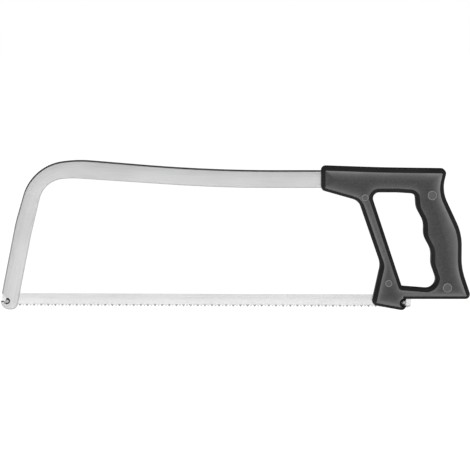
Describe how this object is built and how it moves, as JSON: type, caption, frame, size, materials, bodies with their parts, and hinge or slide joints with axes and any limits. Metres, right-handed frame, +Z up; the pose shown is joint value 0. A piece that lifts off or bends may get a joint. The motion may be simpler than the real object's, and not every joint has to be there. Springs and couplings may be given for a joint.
{
  "type": "butcher saw",
  "caption": "Bow saw for meat and bone: a bent flat steel bow, a thin toothed blade hooked on cross pins, and a black plastic D handle.",
  "frame": {"origin": "centre of the grip, on the middle plane of the saw", "axes": "+X from the toe to the handle along the blade, +Y across the thickness to the far side, +Z up from the blade to the bow's spine"},
  "size_m": [0.473, 0.02, 0.1512],
  "materials": {
    "bow_steel": "bright, finely ground along the bar",
    "blade_steel": "bright cold rolled strip",
    "pin_steel": "turned pin",
    "grip_plastic": "fine grained side faces, smoother edges",
    "plug_plastic": "satin",
    "fastener_steel": "zinc plated"
  },
  "bodies": {
    "frame_and_handle": {"bow_frame": "bow_steel", "handle_near_half": "grip_plastic", "handle_far_half": "grip_plastic", "screw_front_top": "fastener_steel", "nut_front_top": "fastener_steel", "plug_near_front_top": "plug_plastic", "plug_far_front_top": "plug_plastic", "screw_front_low": "fastener_steel", "nut_front_low": "fastener_steel", "plug_near_front_low": "plug_plastic", "plug_far_front_low": "plug_plastic", "screw_rear_top": "fastener_steel", "nut_rear_top": "fastener_steel", "plug_near_rear_top": "plug_plastic", "plug_far_rear_top": "plug_plastic", "screw_rear_low": "fastener_steel", "nut_rear_low": "fastener_steel", "plug_near_rear_low": "plug_plastic", "plug_far_rear_low": "plug_plastic"},
    "blade_unit": {"blade": "blade_steel", "toe_pin": "pin_steel", "heel_pin": "pin_steel"}
  },
  "joints": [
    {"name": "blade_swing", "type": "hinge", "parent": "frame_and_handle", "child": "blade_unit", "pos_m": [-0.4387, 0, -0.06162], "axis": [0, 1, 0], "range_deg": [0, 90]}
  ]
}
